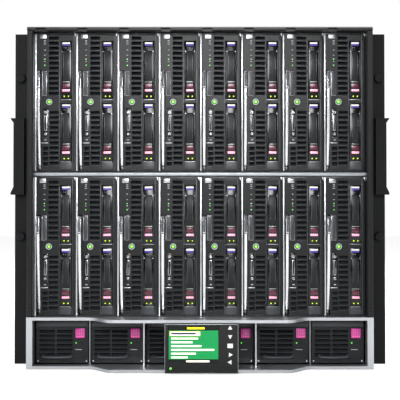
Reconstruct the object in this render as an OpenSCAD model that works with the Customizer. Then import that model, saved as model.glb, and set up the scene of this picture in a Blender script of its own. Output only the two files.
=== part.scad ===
// Ten-unit blade server chassis: sixteen half-height blades in two rows, six power
// supplies below them, and a display panel that slides along the bowed lower bezel.
// X runs to the right, Y to the rear and Z up. The origin is on the underside, on the
// centreline, in the plane of the rear faces of the rack ears.

/* [Enclosure] */
// Number of blade bays in a row
bay_columns = 8; // [2:1:8]
// Depth of the casing behind the rack ears
body_d = 795; // [760:5:1000]
// Thickness of the casing's sheet metal
casing_t = 1.5; // [1:0.1:2]
// Thickness of each upright of the front frame
side_w = 7.9; // [4:0.1:9]
// How far the front frame stands ahead of the rack ears
frame_reach = 18; // [12:1:30]
// Height of the rail across the top of the front
top_rail_h = 5.3; // [4:0.1:10]
// Thickness of the shelf between the two rows of blades
mid_shelf_t = 7; // [4:0.5:12]
// Thickness of the midplane board
midplane_t = 4; // [2:0.5:6]

/* [Rack ears] */
// Distance between the rack screws on the two sides
ear_screw_span = 465.1; // [460:0.1:560]
// Height of the lower rack screws
ear_screw_z = 170.2; // [150:0.1:190]
// Vertical distance between the rack screws of one ear
ear_screw_rise = 206.4; // [150:0.1:240]
// Thickness of the ear plates
ear_t = 2; // [1.5:0.1:3]
// Radius of the rack screw's shank
ear_screw_r = 3; // [2.5:0.1:4]

/* [Blades] */
// Width of one blade bay
blade_pitch = 53.9; // [50:0.1:56]
// Height of a blade
blade_h = 181; // [175:1:220]
// Depth of a blade behind its front face
blade_d = 508; // [440:1:610]
// How far the blade faces lie behind the rack ears' rear faces
blade_setback = -4; // [-6:1:20]
// Depth of the moulded blade bezel
bezel_d = 22; // [20:1:30]
// Vertical distance between two louvres
louvre_pitch = 6.6; // [5.5:0.1:8]
// Height of one louvre opening
louvre_h = 4; // [3:0.1:5]
// Width of a drive carrier
drive_w = 13.7; // [12:0.1:15]
// Height of a drive carrier
drive_h = 75; // [60:1:76]
// Length of a blade's ejector lever above its pivot
lever_l = 120; // [95:1:142]
// Width of a blade's ejector lever
lever_w = 3.8; // [3:0.1:4.4]
// Radius of the lever's pivot pin
lever_pin_r = 2; // [1.5:0.1:2.5]

/* [Power supplies] */
// Height of the power supply bay above the lower rail
psu_bay_h = 58.7; // [50:0.1:80]
// Thickness of the front rail and shelf over the power supplies
psu_shelf_t = 3.8; // [3:0.1:6]
// Depth of a power supply
psu_d = 600; // [500:5:640]
// How far the power supply faces lie behind the rack ears' rear faces
psu_setback = 0; // [0:1:20]
// Width and height of a power supply's latch
latch_size = 13; // [9:0.5:16]

/* [Lower bezel] */
// Height of the bottom rail
bottom_rail_h = 4; // [3:0.1:6]
// How far the middle of the lower bezel bows out ahead of its ends
bow = 30; // [20:0.5:34]
// Half-width of the straight middle of the bow
bow_flat = 110; // [90:1:130]
// Width of each S-shaped run from the bow to the side
bow_run = 33; // [20:1:40]

/* [Display] */
// Width of the display panel
display_w = 92; // [78:1:110]
// Thickness of the display panel
display_t = 7; // [6:0.5:10]
// Width of the screen
screen_w = 61.8; // [52:0.1:66]
// Height of the screen
screen_h = 46.6; // [38:0.1:47]
// Radius of the display's hinge pin
display_pin_r = 1.5; // [1.2:0.1:1.8]

/* [Rear] */
// Bore of a cooling fan
fan_bore = 78; // [60:1:80]
// Depth of a fan module
fan_d = 190; // [150:1:195]
// Depth of an interconnect module
io_module_d = 255; // [200:1:258]

/* [Fits] */
// Gap between a sliding module and its bay
slide_gap = 0.3; // [0.2:0.05:0.5]
// Gap between pieces that are fixed together but can be taken apart
seat_gap = 0.2; // [0.1:0.05:0.25]
// Radial clearance of a pivot
pivot_gap = 0.05; // [0.02:0.01:0.1]

/* [Hidden] */
eps = 1;
steel = "#9aa0a6";
silver = "#c9ccd0";
black = "#15171a";
dark = "#24272b";
grey = "#43474c";
green = "#0b8a3e";
magenta = "#7a1a50";

n_blades = 2 * bay_columns;
n_psus = 6;
row_w = bay_columns * blade_pitch;
body_w = row_w + 2 * side_w;
wall_x = body_w / 2 - casing_t;
psu_shelf_z = bottom_rail_h + psu_bay_h;
lower_row_z = psu_shelf_z + psu_shelf_t + slide_gap;
mid_shelf_z = lower_row_z + blade_h + slide_gap;
upper_row_z = mid_shelf_z + mid_shelf_t + slide_gap;
body_h = upper_row_z + blade_h + slide_gap + top_rail_h;
front_y = -frame_reach;
bow_y = front_y - bow;
midplane_y = blade_setback + blade_d + 5;
rear_room_y = midplane_y + midplane_t;

function bay_x(i) = (i % bay_columns - bay_columns / 2) * blade_pitch;
function bay_z(i) = i < bay_columns ? upper_row_z : lower_row_z;
function two(i) = i < 9 ? str("0", i + 1) : str(i + 1);
function blade_name(i) = str("blade_", two(i));
function lever_name(i) = str("lever_", two(i));

// A box between two corners.
module box(low, high) {
    translate(low) cube(high - low);
}

// A flat outline in (y, z), drawn out along x from x0 to x1.
module along_x(x0, x1) {
    translate([x0, 0, 0]) rotate([90, 0, 90]) linear_extrude(x1 - x0) children();
}

// A flat outline in (x, z), drawn back along y from y0 to y1.
module along_y(y0, y1) {
    translate([0, y1, 0]) rotate([90, 0, 0]) linear_extrude(y1 - y0) children();
}

// A flat rectangle with round corners.
module round_rect(size, r) {
    translate([r, 0]) square([size.x - 2 * r, size.y]);
    translate([0, r]) square([size.x, size.y - 2 * r]);
    for (x = [r, size.x - r], y = [r, size.y - r])
        translate([x, y]) circle(r, $fn = 24);
}

// ---------------------------------------------------------------- enclosure

// The casing is a sleeve, open at both ends. Its floor reaches forward as a tongue that
// carries the lower bezel.
tongue_reach = 8;
tongue_x = row_w / 2 - 6;

module outer_casing() {
    color(black)
        union() {
            difference() {
                box([-body_w / 2, 0, 0], [body_w / 2, body_d, body_h]);
                box([-wall_x, -eps, casing_t], [wall_x, body_d + eps, body_h - casing_t]);
            }
            box([-tongue_x, -tongue_reach, 0], [tongue_x, eps, casing_t]);
        }
}

// Half of the front frame is on each side, so the sides are mirrored.
frame_inner_x = row_w / 2;
frame_top_z = body_h - top_rail_h;
upright_break_z = bay_z(n_blades) + 0.37 * blade_h;
upright_groove = 1.2;

module upright() {
    outline = [
        [frame_inner_x, -seat_gap], [frame_inner_x, front_y + 1.2],
        [frame_inner_x + 1.2, front_y], [body_w / 2 - 1.2, front_y],
        [body_w / 2, front_y + 1.2], [body_w / 2, -seat_gap]];
    z0 = psu_shelf_z + psu_shelf_t + seat_gap;
    z1 = frame_top_z - seat_gap;
    difference() {
        translate([0, 0, z0]) linear_extrude(z1 - z0) polygon(outline);
        // A groove runs down the front between two bright edges.
        translate([0, 0, upright_break_z])
            linear_extrude(z1 - upright_break_z - 3)
                polygon([[frame_inner_x + 1.5, front_y - eps],
                         [frame_inner_x + 1.5, front_y + upright_groove],
                         [body_w / 2 - 1.5, front_y + upright_groove],
                         [body_w / 2 - 1.5, front_y - eps]]);
        // Fine steps texture the lower part of the upright.
        for (z = [z0 + 6 : 4 : upright_break_z - 8])
            box([frame_inner_x + 1.4, front_y - eps, z], [body_w / 2 + eps, front_y + 0.6, z + 1.6]);
    }
}

// The top rail is notched over every lever, where the lever's thumb pad swings up.
notch_x = 3.4;
notch_w = 12.3;
notch_d = 5;

module top_rail() {
    difference() {
        along_x(-body_w / 2, body_w / 2)
            polygon([[-seat_gap, frame_top_z], [-seat_gap, body_h], [front_y + 2, body_h],
                     [front_y, body_h - 2], [front_y, frame_top_z + 1], [front_y + 1, frame_top_z]]);
        for (i = [0:bay_columns - 1])
            box([bay_x(i) + notch_x, front_y - eps, frame_top_z - eps],
                [bay_x(i) + notch_x + notch_w, front_y + notch_d, body_h - 1.5]);
    }
}

module front_frame() {
    color(black) {
        upright();
        mirror([1, 0, 0]) upright();
    }
    color(silver) top_rail();
}

// The lower bezel's front edge: straight at the sides, bowed out in the middle, with an
// S-shaped run between, so it is half a cosine wave.
s_steps = 12;
function s_curve(t) = front_y - bow * (1 + cos(180 * t)) / 2;
function bow_edge(inset) = concat(
    [for (k = [0:s_steps]) [bow_flat + bow_run * k / s_steps, s_curve(k / s_steps) + inset]],
    [[body_w / 2 - inset, front_y + inset]]);
function both_sides(half) = concat(
    [for (k = [len(half) - 1:-1:0]) [-half[k].x, half[k].y]], half);

rail_back_y = -seat_gap;
track_y = bow_y + 4;
track_w = 3;
track_d = 1.8;
rib_t = 1.8;
rib_reach = 20;

module bowed_rail(z0, z1) {
    edge = both_sides(bow_edge(0));
    translate([0, 0, z0]) linear_extrude(z1 - z0)
        polygon(concat(edge, [[body_w / 2, rail_back_y], [-body_w / 2, rail_back_y]]));
}

// The display's carriage runs in one track under the front rail and one in the bottom rail.
module track(z0, z1) {
    box([-bow_flat, track_y, z0], [bow_flat, track_y + track_w, z1]);
}

module lower_bezel() {
    color(silver)
        difference() {
            union() {
                bowed_rail(0, bottom_rail_h);
                bowed_rail(psu_shelf_z, psu_shelf_z + psu_shelf_t);
                for (s = [0, 1]) mirror([s, 0, 0])
                    box([frame_inner_x, front_y, bottom_rail_h - eps],
                        [body_w / 2, rail_back_y, psu_shelf_z + eps]);
                // A thin rib stands either side of the two middle power supplies.
                for (x = [-psu_pitch, psu_pitch])
                    box([x - rib_t / 2, -rib_reach, bottom_rail_h - eps],
                        [x + rib_t / 2, rail_back_y, psu_shelf_z + eps]);
            }
            track(bottom_rail_h - track_d, bottom_rail_h + eps);
            track(psu_shelf_z - eps, psu_shelf_z + track_d);
            // Seat for the casing's tongue.
            box([-tongue_x - seat_gap, -tongue_reach - seat_gap, -eps],
                [tongue_x + seat_gap, eps, casing_t + seat_gap]);
        }
}

// Rack ears: a folded plate on each side, with a grip and two captive screws.
ear_z0 = 4.7;
ear_z1 = body_h - 7.2;
ear_reach = ear_screw_span / 2 + 8.75;
grip_z0 = ear_screw_z + 54.6;
grip_z1 = grip_z0 + 99;
grip_t = 12;
ear_hole_gap = 1.3;
screw_reach = 13;

module ear_plate() {
    difference() {
        union() {
            box([body_w / 2 + seat_gap, -ear_t, ear_z0], [ear_reach, 0, ear_z1]);
            box([body_w / 2 + seat_gap, -ear_t, ear_z0], [body_w / 2 + seat_gap + 1.2, 22, ear_z1]);
        }
        for (z = [ear_screw_z, ear_screw_z + ear_screw_rise])
            translate([ear_screw_span / 2, -ear_t - eps, z]) rotate([-90, 0, 0])
                cylinder(h = ear_t + 2 * eps, r = ear_screw_r + ear_hole_gap, $fn = 32);
    }
}

module ear_screw(z) {
    translate([ear_screw_span / 2, 0, z]) rotate([90, 0, 0]) {
        translate([0, 0, -screw_reach])
            cylinder(h = screw_reach + ear_t + seat_gap, r = ear_screw_r, $fn = 32);
        translate([0, 0, ear_t + seat_gap]) cylinder(h = 5, r = 5.6, $fn = 32);
        translate([0, 0, ear_t + seat_gap + 5]) cylinder(h = 1.2, r1 = 5.6, r2 = 4.6, $fn = 32);
    }
}

// The grip is a bar with a hooked tip at each end for the fingers.
module ear_grip() {
    hook = 6;
    x0 = body_w / 2 + 4;
    x1 = ear_reach;
    y1 = -ear_t - seat_gap;
    along_y(y1 - grip_t, y1)
        polygon([[x0, grip_z0], [x1 + 3.6, grip_z0], [x1 + 3.6, grip_z0 + 2.4], [x1, grip_z0 + hook + 4],
                 [x1, grip_z1 - hook], [x1 + 3.6, grip_z1 - 1], [x1 + 3.6, grip_z1],
                 [x0, grip_z1]]);
}

module rack_ears() {
    for (s = [0, 1]) mirror([s, 0, 0]) {
        color(black) ear_plate();
        color(dark) ear_grip();
        color(steel) for (z = [ear_screw_z, ear_screw_z + ear_screw_rise]) ear_screw(z);
    }
}

// Shelves and dividers that the modules slide on.
shelf_x = wall_x - seat_gap;
divider_t = 1.2;
psu_pitch = row_w / n_psus;
shelf_sheet = 1.5;

// The middle shelf is a folded sheet; its round nose reaches forward between the uprights.
shelf_nose_lead = 2;

module mid_shelf() {
    z0 = mid_shelf_z;
    z1 = mid_shelf_z + mid_shelf_t;
    nose = mid_shelf_t / 2;
    nose_x = frame_inner_x - seat_gap;
    nose_y = blade_setback - shelf_nose_lead + nose;
    back_y = blade_setback + blade_d - 4;
    difference() {
        union() {
            along_x(-shelf_x, shelf_x)
                polygon([[seat_gap, z0], [back_y, z0], [back_y, z1], [seat_gap, z1]]);
            along_x(-nose_x, nose_x)
                polygon([[nose_y, z0], [seat_gap + eps, z0], [seat_gap + eps, z1], [nose_y, z1]]);
            along_x(-nose_x, nose_x) translate([nose_y, z0 + nose]) circle(nose, $fn = 32);
        }
        along_x(-shelf_x - eps, shelf_x + eps)
            polygon([[seat_gap + 4, z0 + shelf_sheet], [back_y + eps, z0 + shelf_sheet],
                     [back_y + eps, z1 - shelf_sheet], [seat_gap + 4, z1 - shelf_sheet]]);
    }
}

module psu_shelf() {
    top = psu_shelf_z + psu_shelf_t;
    box([-shelf_x, seat_gap, top - shelf_sheet], [shelf_x, psu_setback + psu_d, top]);
    // Folded-down front edge of the shelf.
    box([-shelf_x, seat_gap, psu_shelf_z + 0.5], [shelf_x, seat_gap + shelf_sheet, top]);
}

module psu_dividers() {
    for (k = [1:n_psus - 1])
        translate([(k - n_psus / 2) * psu_pitch, 0, 0])
            box([-divider_t / 2, 1.5, casing_t + seat_gap],
                [divider_t / 2, psu_setback + psu_d, psu_shelf_z + 0.5 - seat_gap]);
}

module bay_shelves() {
    color(silver) mid_shelf();
    color(steel) psu_shelf();
    color(silver) psu_dividers();
}

// The midplane carries a socket for each blade and each rear module.
socket_w = 26;
socket_h = 64;
socket_z = 58;
midplane_z0 = psu_shelf_z + psu_shelf_t + 1.5;
window_h = 40;

module midplane() {
    color(green)
        difference() {
            box([-shelf_x, midplane_y, midplane_z0],
                [shelf_x, midplane_y + midplane_t, body_h - casing_t - seat_gap]);
            for (i = [0:n_blades - 1])
                translate([bay_x(i), midplane_y - eps, bay_z(i)])
                    box([8, 0, blade_h - 20 - window_h],
                        [blade_pitch - 8, midplane_t + 2 * eps, blade_h - 20]);
        }
    color(dark)
        for (i = [0:n_blades - 1])
            translate([bay_x(i) + blade_pitch / 2 - socket_w / 2, midplane_y - seat_gap, bay_z(i) + socket_z])
                box([0, -4.5, 0], [socket_w, 0, socket_h]);
}

// Rear modules, in bands from the bottom: power inlets, fans, management modules,
// four rows of interconnect modules, and fans again.
fan_columns = 5;
fan_pitch = 2 * shelf_x / fan_columns;
fan_h = 103;
module_gap = 0.8;
fan_rows_z = [psu_shelf_z + psu_shelf_t + module_gap, body_h - casing_t - fan_h - module_gap];
manage_z = fan_rows_z[0] + fan_h + module_gap;
manage_h = 28;
io_rows = 4;
io_z = manage_z + manage_h + module_gap;
io_pitch = (fan_rows_z[1] - io_z) / io_rows;
fan_hub_r = 19;
fan_blades = 7;

module fan_housing() {
    difference() {
        box([module_gap / 2, 0, 0], [fan_pitch - module_gap / 2, fan_d, fan_h]);
        translate([fan_pitch / 2, -eps, fan_h / 2]) rotate([-90, 0, 0])
            cylinder(h = fan_d + 2 * eps, r = fan_bore / 2, $fn = 64);
    }
    // Three struts carry the motor's mount at the rear.
    for (a = [90, 210, 330])
        translate([fan_pitch / 2, fan_d - 6, fan_h / 2]) rotate([0, a, 0])
            box([0, 0, -1.5], [fan_bore / 2 + 0.5, 4, 1.5]);
    translate([fan_pitch / 2, fan_d - 6, fan_h / 2]) rotate([-90, 0, 0])
        cylinder(h = 4, r = fan_hub_r, $fn = 48);
}

module fan_rotor() {
    translate([fan_pitch / 2, fan_d - 44, fan_h / 2]) rotate([-90, 0, 0]) {
        cylinder(h = 38 - seat_gap, r = fan_hub_r, $fn = 48);
        for (k = [0:fan_blades - 1])
            rotate([0, 0, k * 360 / fan_blades])
                translate([0, 0, 17]) rotate([35, 0, 0])
                    box([fan_hub_r - 2, -1, -14], [fan_bore / 2 - 1.6, 1, 14]);
    }
}

module fan_handle() {
    x = fan_pitch / 2;
    y = fan_d + seat_gap;
    along_x(x - 28, x + 28)
        polygon([[y, 2], [y + 3, 2], [y + 11, 4.5], [y + 11, 6.5], [y + 3, 8.5], [y, 8.5]]);
}

module fan_modules() {
    for (z = fan_rows_z, k = [0:fan_columns - 1])
        translate([-shelf_x + k * fan_pitch, body_d - fan_d - 12, z]) {
            color(dark) fan_housing();
            color(black) fan_rotor();
            color(magenta) fan_handle();
        }
}

// A sealed rear module with a row of covered ports set into its rear face, and a pull
// tab at each end of the row.
port_recess = 3.5;

module port_module(w, d, h, ports, port_w, port_h) {
    margin = 16;
    pitch = (w - 2 * margin) / ports;
    difference() {
        cube([w, d, h]);
        for (k = [0:ports - 1])
            box([margin + (k + 0.5) * pitch - port_w / 2, d - port_recess, (h - port_h) / 2],
                [margin + (k + 0.5) * pitch + port_w / 2, d + eps, (h + port_h) / 2]);
        for (x = [5, w - 11])
            box([x, d - port_recess, 4], [x + 6, d + eps, h - 4]);
    }
}

module interconnect_modules() {
    w = shelf_x - module_gap;
    for (s = [0, 1], r = [0:io_rows - 1])
        color(steel)
            translate([s == 0 ? -shelf_x + module_gap / 2 : module_gap / 2, body_d - io_module_d, io_z + r * io_pitch])
                port_module(w, io_module_d, io_pitch - module_gap, 8, 14, 11);
    for (s = [0, 1])
        color(dark)
            translate([s == 0 ? -shelf_x + module_gap / 2 : module_gap / 2, body_d - io_module_d, manage_z])
                port_module(w, io_module_d, manage_h, 4, 16, 13);
}

// Power inlets: a housing behind each power supply with a recessed connector.
inlet_y = psu_setback + psu_d + 12;
socket_mouth = [31, 25];
socket_depth = 24;

module power_inlets() {
    h = psu_shelf_z - casing_t - 1;
    for (k = [0:n_psus - 1])
        translate([(k - n_psus / 2) * psu_pitch + 1, inlet_y, casing_t + seat_gap])
            color(dark)
                difference() {
                    cube([psu_pitch - 2, body_d - inlet_y, h]);
                    box([(psu_pitch - 2 - socket_mouth.x) / 2, body_d - inlet_y - socket_depth, (h - socket_mouth.y) / 2],
                        [(psu_pitch - 2 + socket_mouth.x) / 2, body_d - inlet_y + eps, (h + socket_mouth.y) / 2]);
                }
}

// ------------------------------------------------------------------- blades

// Across the blade, from its left edge: the guard, the lever's slot, a column of
// indicators, a column of louvres, and the two drives at the right.
guard_x0 = 0.4;
guard_x1 = 2.4;
bezel_x0 = guard_x1 + seat_gap;
bezel_x1 = blade_pitch - 0.4;
lever_x0 = 3.7;
lever_x1 = lever_x0 + lever_w;
slot_side = 0.35;
slot_x0 = lever_x0 - slot_side;
slot_x1 = lever_x1 + slot_side;
slot_back_y = 18.5;
lever_z = 10;
lever_y = 10;
lever_eye_r = 5;
indicator_x = 14.1;
louvre_x0 = 19.4;
drive_x0 = bezel_x1 - 5.8 - drive_w;
louvre_x1 = drive_x0 - 3.3;
power_x = 19;
power_z = 90.6;
power_r = 5;
drive_z = [13.5, 13.5 + drive_h + 6.3];
top_louvre_z = 99.4;
bottom_louvre_z = 8.5;
vent_z = 7.2;

module at_blade(i) {
    translate([bay_x(i), blade_setback, bay_z(i)]) children();
}

// The bezel's side outline: a sloped ledge at the foot and a rounded brow.
module bezel_outline() {
    brow_r = 5;
    polygon(concat(
        [[bezel_d, 0.2], [3.5, 0.2], [0, 7], [0, blade_h - brow_r]],
        [for (a = [170:-20:90]) [brow_r + brow_r * cos(a), blade_h - brow_r + brow_r * sin(a)]],
        [[bezel_d, blade_h]]));
}

// Louvres slant up towards the rear, so each opening is a leaning slot.
module louvres(x0, x1, z0, count) {
    for (k = [0:count - 1])
        along_x(x0, x1)
            polygon([[-eps, z0 + k * louvre_pitch - 0.6], [-eps, z0 + k * louvre_pitch + louvre_h - 0.6],
                     [bezel_d + eps, z0 + k * louvre_pitch + louvre_h + 1.4],
                     [bezel_d + eps, z0 + k * louvre_pitch + 1.4]]);
}

module blade_bezel() {
    upper_count = floor((blade_h - 4.5 - top_louvre_z - louvre_h) / louvre_pitch) + 1;
    lower_count = floor((power_z - power_r - 1.5 - bottom_louvre_z - louvre_h) / louvre_pitch) + 1;
    difference() {
        along_x(bezel_x0, bezel_x1) bezel_outline();
        box([slot_x0, -eps, 1.5], [slot_x1, slot_back_y, lever_z + lever_l + 2]);
        translate([slot_x0 - 2, lever_y, lever_z]) rotate([0, 90, 0])
            cylinder(h = lever_w + 2 * slot_side + 4, r = lever_pin_r + 0.1, $fn = 24);
        louvres(louvre_x0 - 2, louvre_x1, top_louvre_z, upper_count);
        louvres(louvre_x0, louvre_x1, bottom_louvre_z, lower_count);
        // Square vents under the front connector.
        for (k = [0:3])
            box([indicator_x - 3.4, -eps, vent_z + k * louvre_pitch],
                [indicator_x + 3.4, bezel_d + eps, vent_z + k * louvre_pitch + 4.8]);
        // Front connector's recess.
        box([indicator_x - 3.4, -eps, post_z[0] - 5], [indicator_x + 3.4, 8, post_z[1] + 5]);
        // Power button's hole.
        translate([power_x, -eps, power_z]) rotate([-90, 0, 0])
            cylinder(h = bezel_d + 2 * eps, r = power_r + 0.15, $fn = 32);
        // Drive bays.
        for (z = drive_z)
            box([drive_x0 - slide_gap, -eps, z - slide_gap],
                [drive_x0 + drive_w + slide_gap, bezel_d + eps, z + drive_h + slide_gap]);
    }
}

module lever_pin() {
    translate([slot_x0 - 0.6, lever_y, lever_z]) rotate([0, 90, 0])
        cylinder(h = lever_w + 2 * slot_side + 2.3, r = lever_pin_r, $fn = 24);
}

module power_button() {
    translate([power_x, 0, power_z]) rotate([-90, 0, 0]) {
        difference() {
            translate([0, 0, -0.8]) cylinder(h = 9, r = power_r, $fn = 32);
            translate([0, 0, -2]) cylinder(h = 12, r = power_r - 1.9, $fn = 32);
        }
    }
}

module power_lens() {
    translate([power_x, 0, power_z]) rotate([-90, 0, 0])
        cylinder(h = 8, r = power_r - 2.1, $fn = 24);
}

// Front connector with a hexagonal post above and below it.
post_z = [48.8, 77];

module front_connector() {
    box([indicator_x - 2.3, 2.5, post_z[0] + 4], [indicator_x + 2.3, 8 - seat_gap, post_z[1] - 4]);
}

module connector_posts() {
    for (z = post_z)
        translate([indicator_x, 8 - seat_gap, z]) rotate([90, 0, 0])
            cylinder(h = 8, r = 2.8, $fn = 6);
}

// A drive in its carrier: body, face with a finger recess, bowed handle and release.
handle_w = 9.1;
handle_z0 = 22.5;
handle_h = 41.5;

module drive_body() {
    box([0.3, 8 + seat_gap, 0.4], [drive_w - 0.3, 112, drive_h - 0.4]);
}

module carrier_face() {
    x0 = (drive_w - handle_w) / 2;
    difference() {
        box([0, 1.2, 0], [drive_w, 8, drive_h]);
        box([x0 - 0.6, 0, 8.5], [x0 + handle_w + 0.6, 6.6, handle_z0 + handle_h]);
    }
}

module carrier_handle() {
    x0 = (drive_w - handle_w) / 2;
    steps = 8;
    rise = 2.6;
    front = [for (k = [0:steps]) [2.6 - rise * sin(180 * k / steps), handle_z0 + handle_h * k / steps - 0.4]];
    back = [for (k = [steps:-1:0]) [5.2 - rise * sin(180 * k / steps), handle_z0 + handle_h * k / steps - 0.4]];
    along_x(x0, x0 + handle_w) polygon(concat(front, back));
}

module carrier_release() {
    x0 = (drive_w - handle_w) / 2;
    along_x(x0 + 0.2, x0 + handle_w - 0.2)
        polygon([[6.4, 8.7], [1.6, 8.7], [0.6, 12.2], [2.4, 13.2], [2.4, 20.2], [6.4, 21]]);
}

module drives() {
    for (z = drive_z)
        translate([drive_x0, 0, z]) {
            color(steel) drive_body();
            color(black) carrier_face();
            color(grey) carrier_handle();
            color(magenta) carrier_release();
        }
}

// Sheet-metal sled behind the bezel.
sled_y = bezel_d + seat_gap;
sled_t = 1.2;
sled_x0 = 1.9;
sled_x1 = blade_pitch - 0.6;
board_x = sled_x1 - 4;
plug_w = 28;
plug_h = 66;
plug_z = socket_z + socket_h / 2 - plug_h / 2;

module sled_tray() {
    difference() {
        box([sled_x0, sled_y, 0], [sled_x1, blade_d, blade_h]);
        box([sled_x0 - eps, sled_y - eps, sled_t], [sled_x1 - sled_t, blade_d - sled_t, blade_h - sled_t]);
        box([blade_pitch / 2 - plug_w / 2 - seat_gap, blade_d - 5, plug_z - seat_gap],
            [blade_pitch / 2 + plug_w / 2 + seat_gap, blade_d + eps, plug_z + plug_h + seat_gap]);
        // Rear air outlet.
        box([8, blade_d - 5, blade_h - 60], [blade_pitch - 8, blade_d + eps, blade_h - 20]);
    }
}

// The side cover runs forward beside the lever as a bright guard.
module sled_cover() {
    box([0.5, sled_y, 1.5], [sled_x0 - seat_gap, blade_d - 1, blade_h - 1.5]);
    along_x(guard_x0, guard_x1)
        polygon([[sled_y + 1, 8], [4, 2], [-1.5, 9], [-1.5, blade_h - 13], [2, blade_h - 8],
                 [sled_y + 1, blade_h - 8]]);
}

module drive_cage() {
    x0 = drive_x0 - slide_gap - 1;
    x1 = drive_x0 + drive_w + slide_gap + 1;
    z0 = drive_z[0] - slide_gap - 1;
    z1 = drive_z[1] + drive_h + slide_gap + 1;
    difference() {
        box([x0, sled_y, z0], [x1, 114, z1]);
        for (z = drive_z)
            box([x0 + 1, sled_y - eps, z - slide_gap], [x1 - 1, 113, z + drive_h + slide_gap]);
    }
}

module system_board() {
    box([board_x, 120, 6], [board_x + 1.6, blade_d - 8, blade_h - 6]);
}

module standoffs() {
    for (y = [130, blade_d - 18], z = [14, blade_h - 14])
        translate([board_x + 1.6 + seat_gap, y, z]) rotate([0, 90, 0])
            cylinder(h = sled_x1 - sled_t - board_x - 1.6 - 2 * seat_gap, r = 2.5, $fn = 6);
}

// Processors under finned heat sinks; the fins run front to back with the air.
module processor(y, z) {
    box([board_x - seat_gap - 4, y, z], [board_x - seat_gap, y + 44, z + 44]);
}

module heat_sink(y, z) {
    fins = 9;
    base_x = board_x - 2 * seat_gap - 4;
    fin_x = 18;
    pitch = (60 - 1.2) / (fins - 1);
    along_y(y - 8, y + 52)
        union() {
            translate([base_x - 4, z - 8]) square([4, 60]);
            for (k = [0:fins - 1])
                translate([fin_x, z - 8 + k * pitch]) square([base_x - 3 - fin_x, 1.2]);
        }
}

module memory_bank(y, z) {
    for (k = [0:3])
        box([board_x - seat_gap - 30, y, z + k * 9], [board_x - seat_gap, y + 133, z + k * 9 + 4]);
}

module rear_plug() {
    box([blade_pitch / 2 - plug_w / 2, blade_d - 18, plug_z], [blade_pitch / 2 + plug_w / 2, blade_d - seat_gap, plug_z + plug_h]);
}

cpu_y = [150, 250];
memory_y = 335;

module blade_inside() {
    color(steel) drive_cage();
    color(green) system_board();
    color(silver) standoffs();
    for (y = cpu_y) {
        color(grey) processor(y, 68);
        color(silver) heat_sink(y, 68);
    }
    color(green) memory_bank(memory_y, 12);
    color(green) memory_bank(memory_y, blade_h - 50);
    color(dark) rear_plug();
}

module blade(i) {
    at_blade(i) {
        color(black) blade_bezel();
        color(steel) lever_pin();
        color(silver) power_button();
        color(green) power_lens();
        color(black) front_connector();
        color(silver) connector_posts();
        drives();
        color(steel) sled_tray();
        color(silver) sled_cover();
        blade_inside();
    }
}

// Ejector lever: an eye on the pin, a bowed arm, a thumb pad and a short toe that
// prises the blade out of its socket.
arm_t = 6;
arm_bow = 12;
pad_l = 23;
arm_steps = 10;

function arm_front(t) = lever_y - lever_eye_r - arm_bow * sin(90 * t);

module lever_body() {
    arm_top = lever_z + lever_l;
    difference() {
        union() {
            along_x(lever_x0, lever_x1) translate([lever_y, lever_z]) circle(lever_eye_r, $fn = 32);
            // Toe.
            along_x(lever_x0, lever_x1)
                polygon([[lever_y - 2, lever_z + 3.4], [lever_y - 2, 2.6], [lever_y + 3, 2.6],
                         [lever_y + 4.5, lever_z + 0.6], [lever_y + 3, lever_z + 3.4]]);
            // Arm.
            along_x(lever_x0, lever_x1)
                polygon(concat(
                    [for (k = [0:arm_steps])
                        [arm_front(k / arm_steps), lever_z + lever_l * k / arm_steps]],
                    [for (k = [arm_steps:-1:0])
                        [arm_front(k / arm_steps) + arm_t + 3.2 * (1 - k / arm_steps),
                         lever_z + lever_l * k / arm_steps]]));
            // Thumb pad.
            along_x(lever_x0, lever_x1)
                polygon([[arm_front(0.85) - 0.5, arm_top - pad_l], [arm_front(1) - 2.5, arm_top - pad_l + 4],
                         [arm_front(1) - 2.5, arm_top - 2], [arm_front(1), arm_top - 0.4],
                         [arm_front(1) + arm_t - 0.4, arm_top - 0.4],
                         [arm_front(1) + arm_t - 0.4, arm_top - pad_l]]);
        }
        along_x(lever_x0 - eps, lever_x1 + eps)
            translate([lever_y, lever_z]) circle(lever_pin_r + pivot_gap, $fn = 32);
    }
}

module lever(i) {
    at_blade(i) color(silver) lever_body();
}

// ----------------------------------------------------------- power supplies

psu_side = 1.3;
psu_w = psu_pitch - 2 * psu_side;
psu_z0 = bottom_rail_h + 1;
psu_h = psu_bay_h - 2;
face_d = 14;
latch_x = psu_w - 4.5 - latch_size;
latch_z = psu_h - 11 - latch_size;
latch_pin_r = 1.2;
latch_pin_y = 3.6;
latch_pin_z = latch_z + latch_size - 3;
latch_pin_grip = 2;
psu_grille_x = [5, 28];
psu_grille_w = 20;
psu_grille_pitch = 5.6;

module at_psu(k) {
    translate([(k - 1 - n_psus / 2) * psu_pitch + psu_side, psu_setback, psu_z0]) children();
}

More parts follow.
